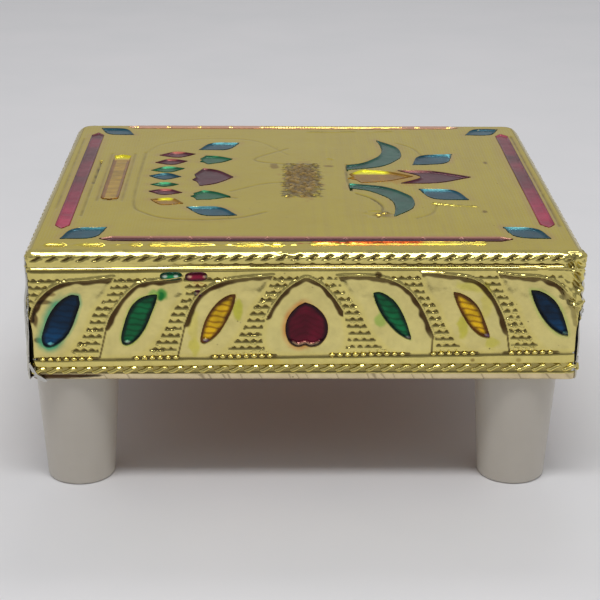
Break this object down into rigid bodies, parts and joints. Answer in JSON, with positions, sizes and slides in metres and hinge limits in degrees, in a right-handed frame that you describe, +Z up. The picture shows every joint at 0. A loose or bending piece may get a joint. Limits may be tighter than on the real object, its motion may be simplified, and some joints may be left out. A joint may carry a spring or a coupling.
{
  "type": "puja chowki",
  "caption": "Low rectangular prayer table: a wooden box under an embossed gold foil cover with lacquered leaves and water pot, on tapered white plastic legs.",
  "frame": {"origin": "on the floor under the middle of the box", "axes": "+X to the right along the long side, +Y away from the front, +Z up"},
  "size_m": [0.155, 0.14, 0.0728],
  "materials": {
    "hardboard": "raw dark brown board",
    "softwood": "raw sawn strip",
    "milk_plastic": "moulded milky white plastic, slightly translucent",
    "zinc_steel": "zinc plated",
    "nail_steel": "bright wire nail",
    "gold_foil": "embossed foil with a pale lemon gold coat",
    "red_lacquer": "translucent lacquer over foil",
    "blue_lacquer": "translucent lacquer over foil",
    "green_lacquer": "translucent lacquer over foil",
    "yellow_lacquer": "translucent lacquer over foil"
  },
  "bodies": {
    "root": {"deck_board": "hardboard", "front_rail": "softwood", "rear_rail": "softwood", "left_rail": "softwood", "right_rail": "softwood", "corner_block_front_left": "softwood", "corner_block_front_right": "softwood", "corner_block_rear_left": "softwood", "corner_block_rear_right": "softwood", "leg_front_left": "milk_plastic", "leg_front_right": "milk_plastic", "leg_rear_left": "milk_plastic", "leg_rear_right": "milk_plastic", "leg_washer_front_left": "zinc_steel", "leg_washer_front_right": "zinc_steel", "leg_washer_rear_left": "zinc_steel", "leg_washer_rear_right": "zinc_steel", "leg_screw_front_left": "zinc_steel", "leg_screw_front_right": "zinc_steel", "leg_screw_rear_left": "zinc_steel", "leg_screw_rear_right": "zinc_steel", "deck_nails": "nail_steel", "rail_nails": "nail_steel", "hem_tacks": "nail_steel", "foil_cover": "gold_foil", "red_enamel": "red_lacquer", "blue_enamel": "blue_lacquer", "green_enamel": "green_lacquer", "yellow_enamel": "yellow_lacquer"}
  },
  "joints": []
}
